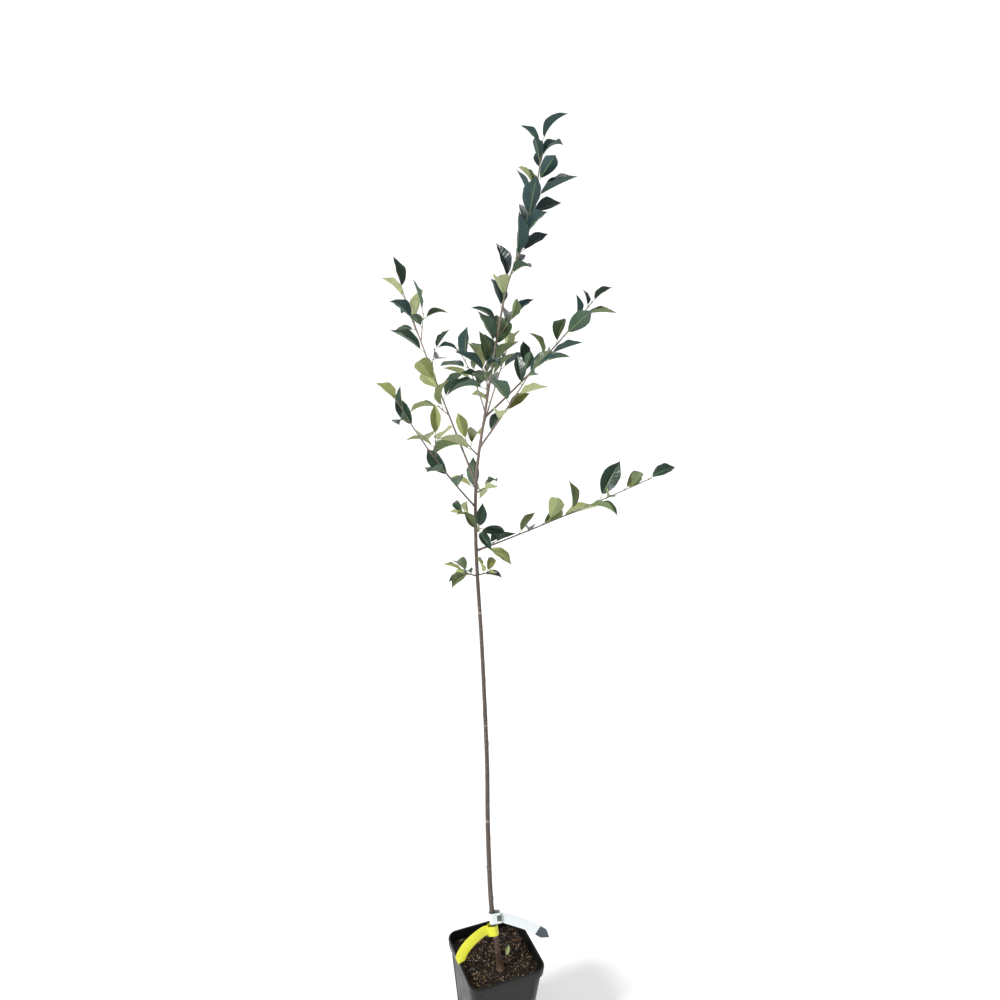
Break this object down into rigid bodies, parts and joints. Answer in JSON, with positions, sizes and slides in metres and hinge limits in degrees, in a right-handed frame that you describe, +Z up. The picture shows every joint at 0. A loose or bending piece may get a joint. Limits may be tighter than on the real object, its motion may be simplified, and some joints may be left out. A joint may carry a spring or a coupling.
{
  "type": "potted fruit tree",
  "caption": "Young sour cherry tree with a slender stem, a fan of leafy boughs and folded leaves, standing in a square tapered nursery pot with tie-on labels.",
  "frame": {"origin": "centre of the pot's flat underside", "axes": "+Z up; the pot's sides face X and Y"},
  "size_m": [0.4289, 0.4385, 1.6694],
  "materials": {
    "fork_spur": "satin",
    "front_spur": "satin",
    "inner_left_bough": "satin",
    "inner_left_foliage": "satin",
    "leader_foliage": "satin",
    "leader_tip_foliage": "satin",
    "left_bough": "satin",
    "left_foliage": "satin",
    "low_right_bough": "satin",
    "low_right_foliage": "satin",
    "lower_left_bough": "satin",
    "lower_left_foliage": "satin",
    "lower_right_spur": "satin",
    "lowest_left_spur": "satin",
    "lowest_right_spur": "satin",
    "middle_front_spur": "satin",
    "middle_left_spur": "satin",
    "pot": "satin",
    "potting_mix": "matte",
    "rear_bough": "satin",
    "rear_foliage": "satin",
    "right_bough": "satin",
    "right_foliage": "satin",
    "short_right_bough": "satin",
    "short_right_foliage": "satin",
    "trunk": "satin",
    "upper_rear_spur": "satin",
    "upper_right_spur": "satin",
    "white_label": "satin",
    "yellow_label": "satin"
  },
  "bodies": {
    "root": {"fork_spur": "fork_spur", "front_spur": "front_spur", "inner_left_bough": "inner_left_bough", "inner_left_foliage": "inner_left_foliage", "leader_foliage": "leader_foliage", "leader_tip_foliage": "leader_tip_foliage", "left_bough": "left_bough", "left_foliage": "left_foliage", "low_right_bough": "low_right_bough", "low_right_foliage": "low_right_foliage", "lower_left_bough": "lower_left_bough", "lower_left_foliage": "lower_left_foliage", "lower_right_spur": "lower_right_spur", "lowest_left_spur": "lowest_left_spur", "lowest_right_spur": "lowest_right_spur", "middle_front_spur": "middle_front_spur", "middle_left_spur": "middle_left_spur", "pot": "pot", "potting_mix": "potting_mix", "rear_bough": "rear_bough", "rear_foliage": "rear_foliage", "right_bough": "right_bough", "right_foliage": "right_foliage", "short_right_bough": "short_right_bough", "short_right_foliage": "short_right_foliage", "trunk": "trunk", "upper_rear_spur": "upper_rear_spur", "upper_right_spur": "upper_right_spur", "white_label": "white_label", "yellow_label": "yellow_label"}
  },
  "joints": []
}
